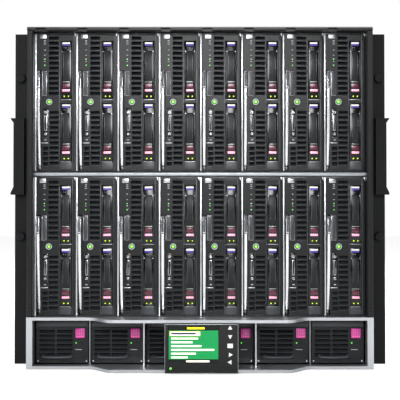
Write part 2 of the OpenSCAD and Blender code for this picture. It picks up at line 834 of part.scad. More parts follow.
module psu_face() {
    difference() {
        union() {
            box([0, 0, 0], [psu_w, face_d, psu_h]);
            // Header band, a little proud of the grille.
            along_x(0, latch_x - 3)
                polygon([[0.5, psu_h - 10.5], [-2.2, psu_h - 9], [-2.2, psu_h - 1.5], [0.5, psu_h]]);
            along_x(latch_x - 3.5, psu_w)
                polygon([[0.5, psu_h - 8.5], [-2.2, psu_h - 7.5], [-2.2, psu_h - 1.5], [0.5, psu_h]]);
        }
        // Grille slots in two columns.
        for (x = psu_grille_x, r = [0:5])
            box([x, -eps, 9 + r * psu_grille_pitch], [x + psu_grille_w, face_d + eps, 9 + r * psu_grille_pitch + 3.4]);
        // Latch pocket, deep enough for the latch to swing in.
        box([latch_x - slide_gap, -eps, latch_z - slide_gap],
            [latch_x + latch_size + slide_gap, 9.6, latch_z + latch_size + slide_gap]);
        translate([latch_x - latch_pin_grip - seat_gap, latch_pin_y, latch_pin_z]) rotate([0, 90, 0])
            cylinder(h = latch_size + 2 * latch_pin_grip + 2 * seat_gap, r = latch_pin_r + 0.1, $fn = 24);
    }
}

module psu_latch_pin() {
    translate([latch_x - latch_pin_grip, latch_pin_y, latch_pin_z]) rotate([0, 90, 0])
        cylinder(h = latch_size + 2 * latch_pin_grip, r = latch_pin_r, $fn = 24);
}

// Pull handle: a flat loop in front of the grille's foot.
module psu_handle() {
    y1 = -seat_gap;
    difference() {
        box([8, y1 - 5, 5], [46, y1, 9.4]);
        box([11, y1 - 3.6, 4], [43, y1 + eps, 10.4]);
    }
}

module psu_can() {
    y0 = face_d + seat_gap;
    difference() {
        box([0.2, y0, 0.2], [psu_w - 0.2, psu_d, psu_h - 0.2]);
        box([1.2, y0 - eps, 1.2], [psu_w - 1.2, psu_d - 1, psu_h - 1.2]);
        box([14, psu_d - 5, 10], [psu_w - 14, psu_d + eps, psu_h - 10]);
    }
}

module psu_core() {
    box([1.4, 90, 1.4], [psu_w - 1.4, psu_d - 30, psu_h - 5]);
}

module psu_fan() {
    r = psu_h / 2 - 3;
    translate([psu_w / 2, 30, psu_h / 2])
        difference() {
            box([-r - 1.5, 0, -r - 1.5], [r + 1.5, 40, r + 1.5]);
            translate([0, -eps, 0]) rotate([-90, 0, 0]) cylinder(h = 40 + 2 * eps, r = r, $fn = 48);
        }
}

module psu_rear_plug() {
    box([14 + seat_gap, psu_d - 29.8, 10 + seat_gap], [psu_w - 14 - seat_gap, psu_d + 8, psu_h - 10 - seat_gap]);
}

module psu_lights() {
    for (z = [latch_z - 6, latch_z - 14])
        box([latch_x + 1, -1.2, z], [latch_x + 3.4, -seat_gap, z + 2.4]);
}

module psu(k) {
    at_psu(k) {
        color(black) psu_face();
        color(steel) psu_latch_pin();
        color(silver) psu_handle();
        color(steel) psu_can();
        color(dark) psu_core();
        color(dark) psu_fan();
        color(dark) psu_rear_plug();
        color(green) psu_lights();
    }
}

// Squeeze latch on each power supply, hinged along its top edge.
module psu_latch(k) {
    top = latch_z + latch_size;
    at_psu(k) color(magenta)
        difference() {
            along_x(latch_x, latch_x + latch_size)
                polygon([[3, latch_z], [-0.4, latch_z + 0.8], [-1.4, latch_z + latch_size / 2],
                         [-0.4, top - 1.4], [1.2, top], [5, top], [6.6, top - 1.4], [6.6, top - 4], [4.4, top - 6],
                         [4.4, latch_z]]);
            translate([latch_x - eps, latch_pin_y, latch_pin_z]) rotate([0, 90, 0])
                cylinder(h = latch_size + 2 * eps, r = latch_pin_r + pivot_gap, $fn = 24);
        }
}

// ------------------------------------------------------------------ display

display_x = 2;
display_y0 = bow_y - slide_gap - display_t;
display_z0 = 0.6;
display_z1 = psu_shelf_z - 0.5;
display_back_y = bow_y - slide_gap;
hinge_r = 2.6;
hinge_z = display_z1 - 4.6;
hinge_y = display_back_y + hinge_r + slide_gap;
hinge_half = 30;
ear_w = 3.6;
top_bevel = 4;
button_travel = 1;
button_x = 35.8;
button_depth = 3.6;
button_zs = [57.2, 46.9, 35.3, 24.2, 14.9];
screen_x0 = -display_w / 2 + 5.2;
screen_z0 = 13.8;

module at_display() {
    translate([display_x, 0, 0]) children();
}

// Outlines of the five keys, centred on the key.
module key_outline(k, grow) {
    r = 3.1 + 2 * grow;
    if (k == 2) translate([-3.4 - grow, -2.6 - grow]) square([6.8 + 2 * grow, 5.2 + 2 * grow]);
    else rotate([90, -90, 0, 0, 180][k]) circle(r, $fn = 3);
}

module panel_housing() {
    difference() {
        at_display() along_y(display_y0, display_y0 + display_t)
            translate([-display_w / 2, display_z0])
                round_rect([display_w, display_z1 - display_z0], 2.5);
        at_display() {
            // Screen window and the room behind it.
            box([screen_x0, display_y0 - eps, screen_z0],
                [screen_x0 + screen_w, display_y0 + 4.6, screen_z0 + screen_h - 0.4]);
            for (k = [0:4])
                translate([button_x, 0, button_zs[k]])
                    along_y(display_y0 - eps, display_y0 + button_depth) key_outline(k, 0.3);
            // The rear top edge is bevelled, so it passes under the front rail as the panel tilts.
            along_x(-display_w / 2 - eps, display_w / 2 + eps)
                polygon([[display_back_y + eps, display_z1 - top_bevel - eps],
                         [display_back_y + eps, display_z1 + eps],
                         [display_back_y - top_bevel - eps, display_z1 + eps]]);
        }
    }
}

module panel_knuckle() {
    at_display() {
        along_x(-hinge_half, hinge_half) translate([hinge_y, hinge_z]) circle(hinge_r, $fn = 32);
        along_x(-hinge_half, hinge_half)
            polygon([[display_back_y - eps, hinge_z - hinge_r], [hinge_y, hinge_z - hinge_r],
                     [hinge_y, hinge_z + 1.2], [display_back_y - eps, hinge_z + 1.2]]);
    }
}

module screen_glass() {
    at_display()
        box([screen_x0 + seat_gap, display_y0 + 0.4, screen_z0 + seat_gap],
            [screen_x0 + screen_w - seat_gap, display_y0 + 1.4, screen_z0 + screen_h - 0.4 - seat_gap]);
}

module screen_module() {
    at_display()
        box([screen_x0 + seat_gap, display_y0 + 1.6, screen_z0 + seat_gap],
            [screen_x0 + screen_w - seat_gap, display_y0 + 4.4, screen_z0 + screen_h - 0.4 - seat_gap]);
}

module display_panel() {
    color(black)
        difference() {
            union() {
                panel_housing();
                panel_knuckle();
            }
            at_display() along_x(-hinge_half - eps, hinge_half + eps)
                translate([hinge_y, hinge_z]) circle(display_pin_r + pivot_gap, $fn = 32);
        }
    color("#0a7a3c", 0.4) screen_glass();
    color(green) screen_module();
}

// Carriage: a plate in the two tracks, with an ear at each end of the hinge pin.
carriage_half = 38;
carriage_y0 = track_y + 0.3;
carriage_y1 = track_y + track_w - 0.3;

module display_carriage() {
    at_display() {
        color(dark)
            difference() {
                union() {
                    box([-carriage_half, carriage_y0, bottom_rail_h - track_d + 0.4],
                        [carriage_half, carriage_y1, psu_shelf_z + track_d - 0.4]);
                    for (s = [0, 1]) mirror([s, 0, 0])
                        along_x(hinge_half + slide_gap, hinge_half + slide_gap + ear_w) {
                            translate([hinge_y, hinge_z]) circle(hinge_r, $fn = 32);
                            polygon([[hinge_y, hinge_z - hinge_r], [carriage_y0 + 1, hinge_z - hinge_r - 3],
                                     [carriage_y0 + 1, hinge_z + hinge_r], [hinge_y, hinge_z + hinge_r]]);
                        }
                }
                // Room for the panel's knuckle to turn.
                box([-hinge_half - slide_gap, carriage_y0 - eps, hinge_z - hinge_r - 4],
                    [hinge_half + slide_gap, carriage_y1 + eps, hinge_z + hinge_r + 1]);
                // Lightening windows either side of a middle rib.
                for (s = [0, 1]) mirror([s, 0, 0])
                    box([4, carriage_y0 - eps, 12], [carriage_half - 8, carriage_y1 + eps, hinge_z - hinge_r - 10]);
            }
        color(steel)
            along_x(-hinge_half - ear_w, hinge_half + ear_w)
                translate([hinge_y, hinge_z]) circle(display_pin_r, $fn = 32);
    }
}

module button(k) {
    at_display() color(silver)
        translate([button_x, 0, button_zs[k]])
            along_y(display_y0 - 0.6, display_y0 + button_depth - button_travel - 0.3) key_outline(k, 0);
}

// -------------------------------------------------------------------- nodes

outer_casing();
front_frame();
lower_bezel();
rack_ears();
bay_shelves();
midplane();
fan_modules();
interconnect_modules();
power_inlets();
for (i = [0:n_blades - 1]) {
    blade(i);
    lever(i);
}
for (k = [1:n_psus]) {
    psu(k);
    psu_latch(k);
}
display_carriage();
display_panel();
button(0);  // button_up
button(1);  // button_down
button(2);  // button_ok
button(3);  // button_right
button(4);  // button_left
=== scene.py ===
"""Looks of a ten-unit blade server enclosure: sixteen blades, six power supplies and a
sliding display, dressed around the fixed frame. Shapes are drawn in millimetres."""

import math

import bmesh
import bpy
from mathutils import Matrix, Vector


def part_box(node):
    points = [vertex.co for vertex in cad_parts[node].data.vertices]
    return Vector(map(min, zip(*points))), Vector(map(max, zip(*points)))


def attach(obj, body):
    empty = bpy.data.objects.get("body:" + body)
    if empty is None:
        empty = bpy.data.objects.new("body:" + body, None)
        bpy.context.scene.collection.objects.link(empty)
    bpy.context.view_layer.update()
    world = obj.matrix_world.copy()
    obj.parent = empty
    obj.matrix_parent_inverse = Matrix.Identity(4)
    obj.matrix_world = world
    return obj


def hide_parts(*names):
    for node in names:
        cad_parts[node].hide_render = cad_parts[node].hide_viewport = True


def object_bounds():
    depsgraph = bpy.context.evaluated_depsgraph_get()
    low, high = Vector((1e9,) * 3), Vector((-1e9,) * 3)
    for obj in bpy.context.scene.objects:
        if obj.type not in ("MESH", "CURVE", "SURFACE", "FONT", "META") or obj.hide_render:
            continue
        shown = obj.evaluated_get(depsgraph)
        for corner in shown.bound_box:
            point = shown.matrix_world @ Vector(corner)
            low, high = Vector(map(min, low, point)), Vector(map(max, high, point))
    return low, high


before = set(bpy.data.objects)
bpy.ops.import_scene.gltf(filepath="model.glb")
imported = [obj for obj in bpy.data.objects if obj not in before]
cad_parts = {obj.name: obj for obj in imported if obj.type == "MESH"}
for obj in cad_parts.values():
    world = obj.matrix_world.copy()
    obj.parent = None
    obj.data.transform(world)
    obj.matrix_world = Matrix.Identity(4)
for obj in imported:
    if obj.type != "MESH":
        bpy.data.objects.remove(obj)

CAD_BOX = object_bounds()
MM = 0.001  # shapes are drawn in millimetres

# ------------------------------------------------------------------ materials


def linear(colour):
    """An sRGB hex colour as linear RGBA."""
    parts = [int(colour[k:k + 2], 16) / 255 for k in (1, 3, 5)]
    return [c / 12.92 if c <= 0.04045 else ((c + 0.055) / 1.055) ** 2.4 for c in parts] + [1.0]


def node(tree, kind, inputs=(), **settings):
    """Adds a node with its settings. Each input is a value, or the socket that feeds it."""
    made = tree.nodes.new(kind)
    for name, value in settings.items():
        setattr(made, name, value)
    for name, value in dict(inputs).items():
        if isinstance(value, bpy.types.NodeSocket):
            tree.links.new(value, made.inputs[name])
        else:
            made.inputs[name].default_value = value
    return made


def surface(name, values):
    """A Principled material with these plain socket values."""
    made = bpy.data.materials.new(name)
    made.use_nodes = True
    shader = made.node_tree.nodes["Principled BSDF"]
    for socket, value in values.items():
        shader.inputs[socket].default_value = value
    return made, made.node_tree, shader


def speckle(tree, size_mm, detail=3.0, stretch=(1, 1, 1)):
    """Noise whose features are about size_mm across, longer along a stretched axis."""
    place = node(tree, "ShaderNodeTexCoord")
    spread = node(tree, "ShaderNodeMapping", {"Vector": place.outputs["Object"],
                                              "Scale": [1 / (size_mm * MM * s) for s in stretch]})
    return node(tree, "ShaderNodeTexNoise", {"Vector": spread.outputs["Vector"], "Scale": 1.0,
                                             "Detail": detail}).outputs["Fac"]


def vary(tree, factor, low, high):
    """The factor spread over a range of values."""
    return node(tree, "ShaderNodeMapRange", {"Value": factor, "From Min": 0.3, "From Max": 0.7,
                                             "To Min": low, "To Max": high}).outputs["Result"]


def tint(tree, factor, dark, light):
    """A colour that drifts between two close shades."""
    return node(tree, "ShaderNodeMix", {0: factor, 6: linear(dark), 7: linear(light)},
                data_type="RGBA").outputs[2]


def relief(tree, shader, height, depth_mm, strength=0.4):
    """Raises the surface by a height pattern."""
    bump = node(tree, "ShaderNodeBump", {"Height": height, "Distance": depth_mm * MM, "Strength": strength})
    tree.links.new(bump.outputs["Normal"], shader.inputs["Normal"])


def moulded(name, dark, light, roughness, grain_mm=0.9, specular=0.3):
    """ABS moulded in a spark-eroded tool: an even fine grain breaks up the sheen. The grain is
    drawn at about a millimetre, coarser than the real one, so that it shows."""
    made, tree, shader = surface(name, {"Specular IOR Level": specular})
    grain = speckle(tree, grain_mm)
    drift = speckle(tree, 35, 1.0)
    tree.links.new(tint(tree, drift, dark, light), shader.inputs["Base Color"])
    tree.links.new(vary(tree, grain, roughness - 0.06, roughness + 0.06), shader.inputs["Roughness"])
    relief(tree, shader, grain, 0.05)
    return made


def powder_coated(name, dark, light, roughness=0.5, specular=0.28):
    """Baked powder on sheet steel: slight orange peel about two millimetres across."""
    made, tree, shader = surface(name, {"Specular IOR Level": specular})
    peel = speckle(tree, 2.2, 2.0)
    cloud = speckle(tree, 90, 2.0)
    tree.links.new(tint(tree, cloud, dark, light), shader.inputs["Base Color"])
    tree.links.new(vary(tree, peel, roughness - 0.05, roughness + 0.08), shader.inputs["Roughness"])
    relief(tree, shader, peel, 0.06, 0.5)
    return made


def rolled_steel(name, dark, light, roughness, stretch=(1, 1, 1), line_mm=0.5):
    """Zinc-plated sheet: rolling leaves fine lines along one way, and the plating clouds a little."""
    made, tree, shader = surface(name, {"Metallic": 1.0})
    lines = speckle(tree, line_mm, 4.0, stretch)
    cloud = speckle(tree, 28, 2.0)
    tree.links.new(tint(tree, cloud, dark, light), shader.inputs["Base Color"])
    tree.links.new(vary(tree, lines, roughness - 0.05, roughness + 0.1), shader.inputs["Roughness"])
    relief(tree, shader, lines, 0.02, 0.35)
    return made


def silver_lacquer(name, dark, light, roughness=0.34):
    """Metallic lacquer over moulded plastic: tiny flakes under a smooth coat."""
    made, tree, shader = surface(name, {"Metallic": 0.85, "Coat Weight": 0.3, "Coat Roughness": 0.15})
    flake = speckle(tree, 0.7, 2.0)
    tree.links.new(tint(tree, flake, dark, light), shader.inputs["Base Color"])
    tree.links.new(vary(tree, flake, roughness - 0.05, roughness + 0.05), shader.inputs["Roughness"])
    return made


def touch_plastic(name, dark, light, glow=0.0, roughness=0.25):
    """Tinted acrylic for parts meant to be touched: clear depth and upright moulding ribs. A glow, where one is
    given, is painted light.
    """
    made, tree, shader = surface(name, {"Roughness": roughness, "Coat Weight": 0.4, "Coat Roughness": 0.1,
                                        "Emission Color": linear(light), "Emission Strength": glow})
    place = node(tree, "ShaderNodeTexCoord")
    ribs = node(tree, "ShaderNodeTexWave", {"Vector": place.outputs["Object"], "Scale": 1 / (7.5 * MM),
                                            "Distortion": 0.6, "Detail": 1.0}, bands_direction="X")
    tree.links.new(tint(tree, ribs.outputs["Fac"], dark, light), shader.inputs["Base Color"])
    relief(tree, shader, ribs.outputs["Fac"], 0.15, 0.5)
    return made


def lit_lens(name, colour, strength):
    """A clouded lens over a small lamp, a little brighter in patches where the diffuser is thin."""
    made, tree, shader = surface(name, {"Base Color": linear(colour), "Roughness": 0.3,
                                        "Emission Color": linear(colour)})
    tree.links.new(vary(tree, speckle(tree, 1.2, 1.0), strength * 0.8, strength * 1.2),
                   shader.inputs["Emission Strength"])
    return made


def printed(name, colour, roughness=0.55, glow=0.0):
    """Flat screen-printed ink or label stock with a faint mottle. Its glow lights the screen; on labels, marks and
    the key it is painted light.
    """
    made, tree, shader = surface(name, {"Emission Color": linear(colour), "Emission Strength": glow,
                                        "Specular IOR Level": 0.3})
    mottle = speckle(tree, 1.5, 2.0)
    shade = node(tree, "ShaderNodeHueSaturation", {"Color": linear(colour), "Value": vary(tree, mottle, 0.93, 1.0)})
    tree.links.new(shade.outputs["Color"], shader.inputs["Base Color"])
    tree.links.new(vary(tree, mottle, roughness - 0.05, roughness + 0.05), shader.inputs["Roughness"])
    return made


def circuit_board(name):
    """Solder mask over copper: green with slightly paler square traces under the resin."""
    made, tree, shader = surface(name, {"Coat Weight": 0.3, "Coat Roughness": 0.2})
    place = node(tree, "ShaderNodeTexCoord")
    cells = node(tree, "ShaderNodeTexBrick", {"Vector": place.outputs["Object"], "Scale": 1 / (12 * MM),
                                              "Color1": linear("#0e4a2c"), "Color2": linear("#0a3d24"),
                                              "Mortar": linear("#1a6a40"), "Mortar Size": 0.06})
    tree.links.new(cells.outputs["Color"], shader.inputs["Base Color"])
    tree.links.new(vary(tree, speckle(tree, 3), 0.35, 0.5), shader.inputs["Roughness"])
    return made


BEZEL_BLACK = moulded("bezel_black_abs", "#0a0b0d", "#15171a", 0.38, specular=0.32)
# Lighter than the bezel plastic: painted highlight on the louvre lips and slats, for the light they catch.
LOUVRE_HIGHLIGHT_GREY = moulded("louvre_painted_highlight_abs", "#24272b", "#33373c", 0.32, specular=0.5)
PANEL_BLACK = moulded("panel_black_abs", "#101214", "#1a1c1f", 0.4, specular=0.3)
GRIP_GREY = moulded("grip_grey_abs", "#3a3e43", "#4b5056", 0.42, 1.2, specular=0.4)
GLOSS_BLACK = moulded("gloss_black_abs", "#050607", "#0b0c0e", 0.16, 3.0, specular=0.4)
CASING_BLACK = powder_coated("casing_black_powder", "#101215", "#1b1d21")
EAR_BLACK = powder_coated("ear_black_powder", "#050607", "#0c0d10", 0.55, 0.2)
HEADER_GREY = moulded("header_grey_abs", "#2a2d31", "#3c4045", 0.36, specular=0.45)
GUARD_STEEL = rolled_steel("guard_plated_steel", "#a9adb1", "#d6d9dc", 0.26, (1, 1, 14))
LEVER_STEEL = rolled_steel("lever_satin_steel", "#d9dbdd", "#f6f7f8", 0.24, (1, 1, 8))
SHEET_STEEL = rolled_steel("sheet_plated_steel", "#8d9196", "#b4b8bc", 0.34, (1, 20, 1))
RAIL_SILVER = silver_lacquer("rail_silver_lacquer", "#b4b8bd", "#d9dcdf")
TRIM_SILVER = silver_lacquer("trim_silver_lacquer", "#8f9398", "#b9bdc1", 0.3)
# Grey lacquer for trim and metal parts, also used for thin painted highlight lines along lit edges.
GREY_LACQUER_AND_HIGHLIGHT = silver_lacquer("grey_lacquer_and_painted_highlight", "#5d6166", "#83878c", 0.32)
RELEASE_WINE = touch_plastic("release_wine_acrylic", "#3a0e1e", "#6b1a38")
# The release lip's pale, glowing pink is a painted reflection of the gloss along its edge.
RELEASE_LIP_REFLECTION = touch_plastic("release_lip_painted_reflection", "#ff7fa8", "#ffc4d6", 0.25)
# The latch glows though no lamp is behind it: painted light, brightest on its pale edge and bars, which are a painted
# highlight.
LATCH_PINK = touch_plastic("latch_pink_acrylic", "#9a2470", "#d94fa4", 0.06)
LATCH_HIGHLIGHT_PINK = touch_plastic("latch_pink_painted_highlight", "#c2307e", "#f05fae", 0.15)
# The glow on these labels, printed marks and the white key is painted light: none of them is a lamp.
LABEL_WHITE = printed("label_white_stock", "#eceef0", glow=0.12)
LABEL_PURPLE = printed("label_purple_ink", "#5b46a8", glow=0.1)
PRINT_GREY = printed("print_grey_ink", "#b9bcc0", glow=0.05)
KEY_WHITE = printed("key_white_abs", "#f2f3f4", 0.4, glow=0.1)
LAMP_YELLOW = lit_lens("lamp_yellow_green", "#c8e800", 1.0)
LAMP_GREEN = lit_lens("lamp_green", "#5ee03c", 0.8)
POWER_GREEN = lit_lens("lamp_power_green", "#00a835", 0.7)
POWER_CORE = lit_lens("lamp_power_core", "#ecec3c", 1.0)
BOARD_GREEN = circuit_board("board_green_mask")
SCREEN_GREEN = printed("screen_green", "#0c8a48", 0.3, glow=0.55)
SCREEN_BLACK = printed("screen_black", "#06110b", 0.3, glow=0.2)
SCREEN_PALE = printed("screen_pale", "#f6efe2", 0.3, glow=0.6)
SCREEN_WHITE = printed("screen_white", "#ffffff", 0.3, glow=0.7)
SCREEN_YELLOW = printed("screen_yellow", "#f0e020", 0.3, glow=0.6)

# --------------------------------------------------------------------- shapes


class Shape:
    """Solids gathered into one mesh, in millimetres from the piece's own origin."""

    def __init__(self):
        self.work = bmesh.new()
        self.finishes = []

    def add(self, solid, finish, edge=0.3, steps=2):
        """Rounds the solid's sharp edges and adds it in one finish."""
        if finish not in self.finishes:
            self.finishes.append(finish)
        for face in solid.faces:
            face.material_index = self.finishes.index(finish)
        if edge:
            sharp = [e for e in solid.edges if len(e.link_faces) == 2 and e.calc_face_angle() > 0.5]
            bmesh.ops.bevel(solid, geom=sharp, offset=edge, offset_type="OFFSET", segments=steps,
                            profile=0.6, affect="EDGES", clamp_overlap=True)
        carry = bpy.data.meshes.new("carry")
        solid.to_mesh(carry)
        solid.free()
        self.work.from_mesh(carry)
        bpy.data.meshes.remove(carry)

    def block(self, low, high, finish, edge=0.3):
        """A block between two corners, with rounded edges."""
        solid = bmesh.new()
        bmesh.ops.create_cube(solid, size=1.0)
        for v in solid.verts:
            v.co = Vector([low[k] if v.co[k] < 0 else high[k] for k in range(3)])
        smallest = min(abs(high[k] - low[k]) for k in range(3))
        self.add(solid, finish, min(edge, smallest * 0.35))

    def prism(self, outline, axis, start, end, finish, edge=0.3):
        """An outline drawn along x, y or z. Along x it is (y, z); along y (x, z); along z (x, y)."""
        solid = bmesh.new()
        place = {"x": lambda a, b, c: (c, a, b), "y": lambda a, b, c: (a, c, b),
                 "z": lambda a, b, c: (a, b, c)}[axis]
        ends = [[solid.verts.new(place(a, b, c)) for a, b in outline] for c in (start, end)]
        solid.faces.new(ends[0])
        solid.faces.new(ends[1][::-1])
        for k in range(len(outline)):
            n = (k + 1) % len(outline)
            solid.faces.new([ends[0][k], ends[1][k], ends[1][n], ends[0][n]])
        bmesh.ops.recalc_face_normals(solid, faces=solid.faces)
        self.add(solid, finish, edge)

    def disc(self, centre, axis, radius, start, end, finish, edge=0.2, sides=28, hole=0.0):
        """A round boss, or a ring where it has a hole, along an axis through the centre."""
        ring = [(centre[0] + radius * math.cos(2 * math.pi * k / sides),
                 centre[1] + radius * math.sin(2 * math.pi * k / sides)) for k in range(sides)]
        if not hole:
            self.prism(ring, axis, start, end, finish, edge)
            return
        solid = bmesh.new()
        place = {"x": lambda a, b, c: (c, a, b), "y": lambda a, b, c: (a, c, b),
                 "z": lambda a, b, c: (a, b, c)}[axis]
        loops = []
        for r, c in ((radius, start), (radius, end), (hole, end), (hole, start)):
            loops.append([solid.verts.new(place(centre[0] + r * math.cos(2 * math.pi * k / sides),
                                                centre[1] + r * math.sin(2 * math.pi * k / sides), c))
                          for k in range(sides)])
        for j in range(4):
            for k in range(sides):
                n = (k + 1) % sides
                solid.faces.new([loops[j][k], loops[j][n], loops[(j + 1) % 4][n], loops[(j + 1) % 4][k]])
        bmesh.ops.recalc_face_normals(solid, faces=solid.faces)
        self.add(solid, finish, edge)

    def wire(self, points, radius, finish, sides=10):
        """A round rod through the points."""
        solid = bmesh.new()
        rings = []
        for k, point in enumerate(points):
            before, after = points[max(k - 1, 0)], points[min(k + 1, len(points) - 1)]
            along = (Vector(after) - Vector(before)).normalized()
            across = along.orthogonal().normalized() if k == 0 else (across - across.dot(along) * along).normalized()
            other = along.cross(across)
            rings.append([solid.verts.new(Vector(point) + radius * (math.cos(a) * across + math.sin(a) * other))
                          for a in [2 * math.pi * j / sides for j in range(sides)]])
        for one, two in zip(rings, rings[1:]):
            for j in range(sides):
                n = (j + 1) % sides
                solid.faces.new([one[j], one[n], two[n], two[j]])
        solid.faces.new(rings[0])
        solid.faces.new(rings[-1][::-1])
        bmesh.ops.recalc_face_normals(solid, faces=solid.faces)
        self.add(solid, finish, 0)

    def pierced(self, low, high, holes, finish, edge=0.3):
        """A plate facing -y between two corners, with oblong holes (x0, x1, z0, z1) right through."""
        solid = bmesh.new()
        cuts_x = sorted({low[0], high[0]} | {h[k] for h in holes for k in (0, 1)})
        cuts_z = sorted({low[2], high[2]} | {h[k] for h in holes for k in (2, 3)})

        def filled(i, j):
            if not (0 <= i < len(cuts_x) - 1 and 0 <= j < len(cuts_z) - 1):
                return False
            x, z = (cuts_x[i] + cuts_x[i + 1]) / 2, (cuts_z[j] + cuts_z[j + 1]) / 2
            return not any(h[0] < x < h[1] and h[2] < z < h[3] for h in holes)

        known = {}

        def at(i, j, y):
            key = (i, j, y)
            if key not in known:
                known[key] = solid.verts.new((cuts_x[i], y, cuts_z[j]))
            return known[key]

        front, back = low[1], high[1]
        for i in range(len(cuts_x) - 1):
            for j in range(len(cuts_z) - 1):
                if not filled(i, j):
                    continue
                solid.faces.new([at(i, j, front), at(i + 1, j, front), at(i + 1, j + 1, front), at(i, j + 1, front)])
                solid.faces.new([at(i, j + 1, back), at(i + 1, j + 1, back), at(i + 1, j, back), at(i, j, back)])
                for (a, b, c, d, beside) in ((i, j, i + 1, j, (i, j - 1)), (i + 1, j, i + 1, j + 1, (i + 1, j)),
                                             (i + 1, j + 1, i, j + 1, (i, j + 1)), (i, j + 1, i, j, (i - 1, j))):
                    if not filled(*beside):
                        solid.faces.new([at(a, b, back), at(c, d, back), at(c, d, front), at(a, b, front)])
        bmesh.ops.recalc_face_normals(solid, faces=solid.faces)
        keep = [e for e in solid.edges if len(e.link_faces) == 2 and e.calc_face_angle() > 0.5
                and all(abs(v.co.y - front) < 1e-6 for v in e.verts)]
        if finish not in self.finishes:
            self.finishes.append(finish)
        bmesh.ops.bevel(solid, geom=keep, offset=edge, offset_type="OFFSET", segments=2, profile=0.6,
                        affect="EDGES", clamp_overlap=True)
        self.add(solid, finish, 0)

    def mesh(self, name):
        """The finished mesh, in metres, smooth where its faces meet gently."""
        made = bpy.data.meshes.new(name)
        bmesh.ops.scale(self.work, vec=(MM, MM, MM), verts=self.work.verts)
        self.work.to_mesh(made)
        self.work.free()
        for finish in self.finishes:
            made.materials.append(finish)
        made.polygons.foreach_set("use_smooth", [True] * len(made.polygons))
        made.set_sharp_from_angle(angle=math.radians(38))
        return made


def place(name, mesh, origin, body, nodes=(), slot=None):
    """Puts a finished mesh at its origin, riding on its body."""
    piece = bpy.data.objects.new(name, mesh)
    piece.location = origin
    bpy.context.scene.collection.objects.link(piece)
    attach(piece, body)
    if nodes:
        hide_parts(*nodes)
    return piece


def corner(name, x=0.0, y=0.0, z=0.0):
    """A node's lowest corner, moved by millimetres: the origin of the pieces drawn there."""
    low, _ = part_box(name)
    return low + Vector((x, y, z)) * MM


def arc(centre, radius, start, end, count):
    """Points on an arc, by degrees."""
    turn = [math.radians(start + (end - start) * k / count) for k in range(count + 1)]
    return [(centre[0] + radius * math.cos(t), centre[1] + radius * math.sin(t)) for t in turn]


# ----------------------------------------------------------------- blade pieces

BLADE_H, BLADE_DEPTH, BEZEL_DEPTH = 181.0, 508.0, 22.0
LEVER_SLOT = (3.35, 7.85, 1.5, 132.0)
CONNECTOR = (10.9, 17.3, 43.8, 82.0)
DRIVE_X, DRIVE_WIDTH, DRIVE_HEIGHT, DRIVE_Z = 34.0, 13.7, 75.0, (13.5, 94.8)
VENTS = [(10.7, 17.3, 7.2 + 6.6 * k, 12.0 + 6.6 * k) for k in range(4)]
UPPER_LOUVRES = [(18.4, 31.0, 99.4 + 6.6 * k, 103.4 + 6.6 * k) for k in range(12)]
LOWER_LOUVRES = [(19.4, 31.0, 8.5 + 6.6 * k, 12.5 + 6.6 * k) for k in range(11)]


def blade_bezel():
    """The moulded face: lever slot, louvres, port and drive openings in one part."""
    made = Shape()
    bays = [(DRIVE_X - 0.6, DRIVE_X + DRIVE_WIDTH + 0.6, z - 0.6, z + DRIVE_HEIGHT + 0.6) for z in DRIVE_Z]
    deep = [LEVER_SLOT] + bays
    made.pierced((2.6, 0, 0), (53.5, 7, BLADE_H), deep + [CONNECTOR] + VENTS + UPPER_LOUVRES + LOWER_LOUVRES,
                 BEZEL_BLACK, 0.35)
    # Painted shade: a solid black block closes the louvres, vents and port 7 mm in, standing for the dark inside of
    # the blade.
    made.pierced((2.6, 7.1, 0), (53.5, BEZEL_DEPTH, BLADE_H), deep, PANEL_BLACK, 0.1)
    # Each opening's slat and lower lip are drawn in the lighter grey: painted highlight.
    for x0, x1, z0, z1 in UPPER_LOUVRES + LOWER_LOUVRES + VENTS:
        made.prism([(0.5, z0 + 0.2), (1.3, z0 + 0.2), (6.6, z1 - 0.7), (6.6, z1 - 0.1)], "x", x0 + 0.1, x1 - 0.1,
                   LOUVRE_HIGHLIGHT_GREY, 0)
        made.block((x0, -0.25, z0 - 1.3), (x1, 0.2, z0 - 0.6), LOUVRE_HIGHLIGHT_GREY, 0.15)
    # Painted highlight: grey lines beside the drive bays, for the light their edges catch.
    for x0, x1, top in ((32.2, 32.8, 172), (49.2, 49.7, 178)):
        made.block((x0, -0.9, 2), (x1, 0.4, top), GREY_LACQUER_AND_HIGHLIGHT, 0.2)
    # Painted light: this flat sill under the drives is grey for the light an upward-facing slope there catches.
    made.block((33.0, -1.0, 2.0), (49.0, 0.6, 11.6), HEADER_GREY, 0.6)
    # Painted highlight: the grey line along the blade's top edge.
    made.block((2.8, -0.6, 180.0), (53.3, 0.5, 180.7), GREY_LACQUER_AND_HIGHLIGHT, 0.2)
    made.prism([(50.8, 181), (53.5, 175), (53.5, 181)], "y", -0.7, 0.4, RAIL_SILVER, 0.2)
    for z in DRIVE_Z:
        made.block((DRIVE_X - 0.2, -0.5, z - 1.7), (DRIVE_X + DRIVE_WIDTH + 0.2, 0.5, z - 0.9), RAIL_SILVER, 0.2)
    return made.mesh("blade_bezel")


